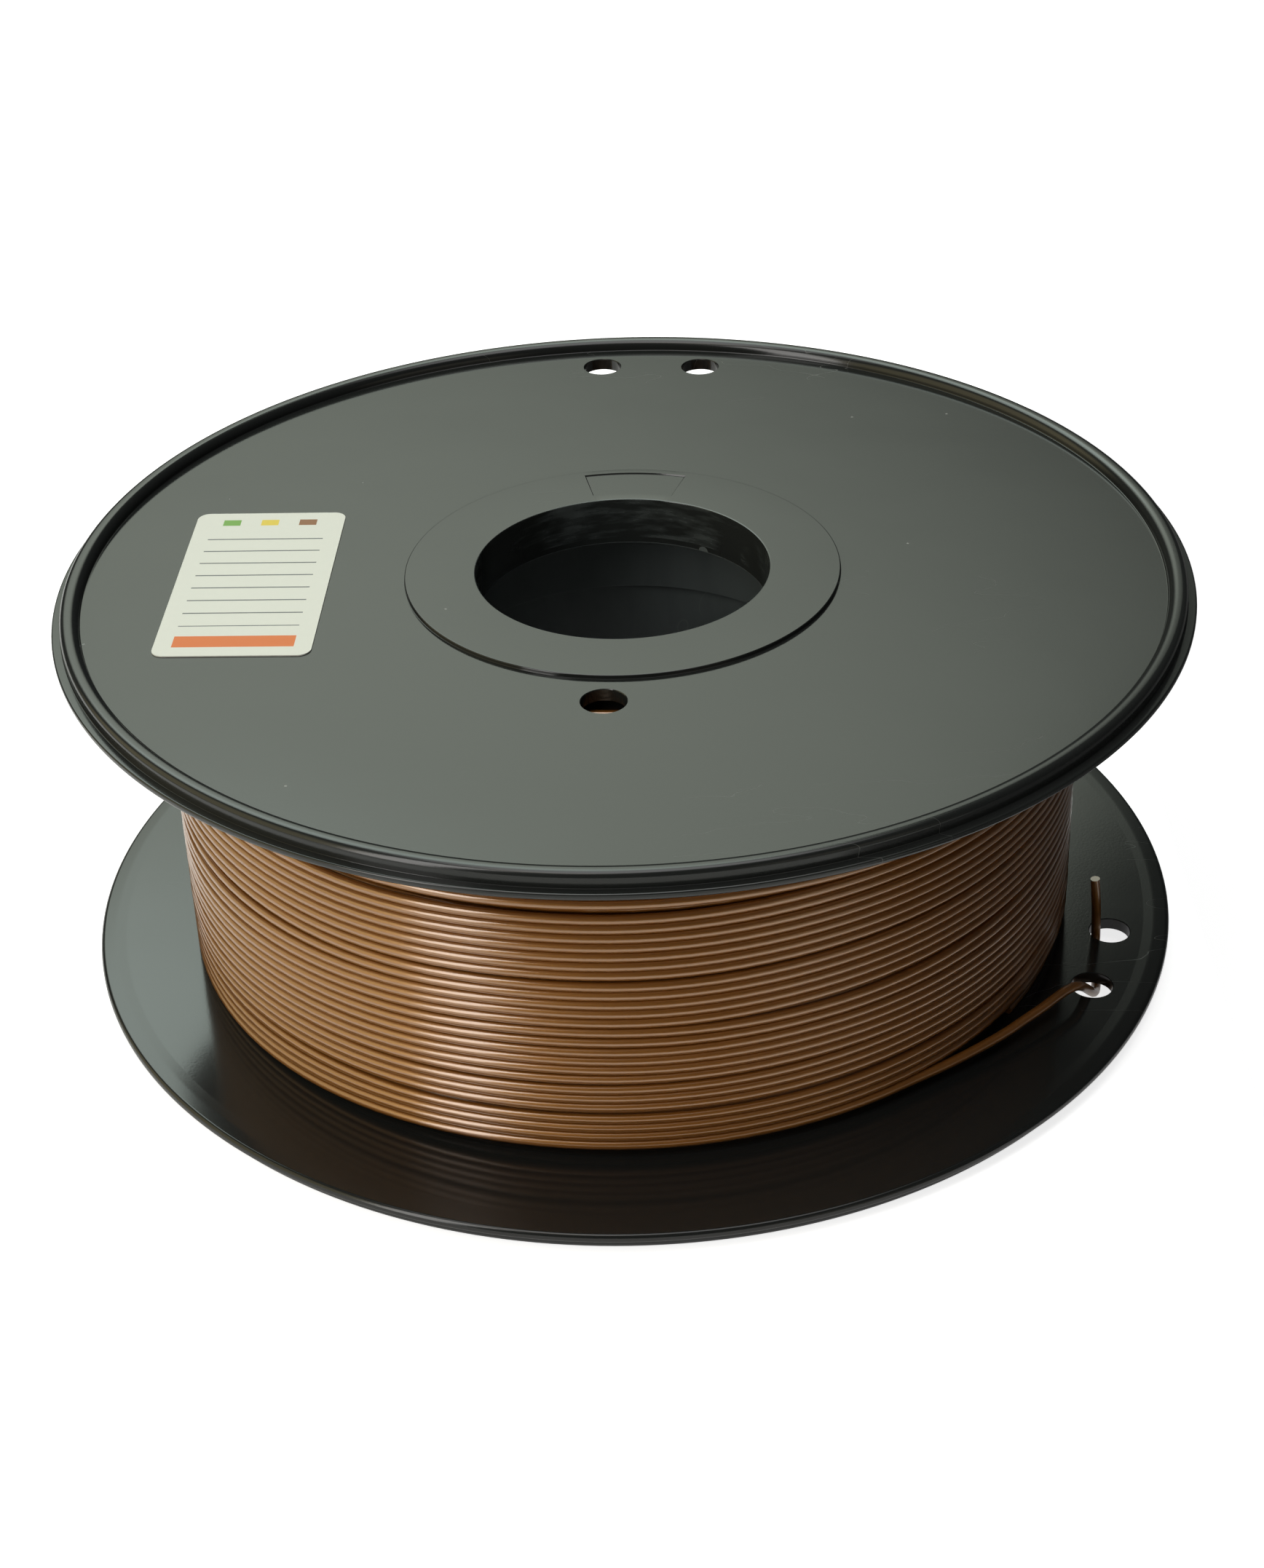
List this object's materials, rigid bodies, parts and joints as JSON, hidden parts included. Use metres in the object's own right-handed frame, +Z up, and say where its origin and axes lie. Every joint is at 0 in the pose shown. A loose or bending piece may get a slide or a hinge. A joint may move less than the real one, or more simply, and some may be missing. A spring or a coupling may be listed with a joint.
{
  "type": "filament spool",
  "caption": "Flanged plastic spool with a central bore, wound full with brown filament whose free end is laced through holes at the rim.",
  "frame": {"origin": "centre of the lower flange's foot circle, on the surface that the spool lies on", "axes": "+Z up along the spool's axis, +Y towards the upper flange's two rim holes, +X to the right as seen from the front"},
  "size_m": [0.2, 0.2, 0.073],
  "materials": {
    "black_plastic": "glossy moulded polystyrene",
    "brown_filament": "satin drawn filament",
    "label_paper": "matt coated paper"
  },
  "bodies": {
    "root": {"lower_flange": "black_plastic", "upper_flange": "black_plastic", "barrel": "black_plastic", "filament_inner_layers": "brown_filament", "filament_outer_layer": "brown_filament", "filament_tail": "brown_filament", "label": "label_paper"}
  },
  "joints": []
}
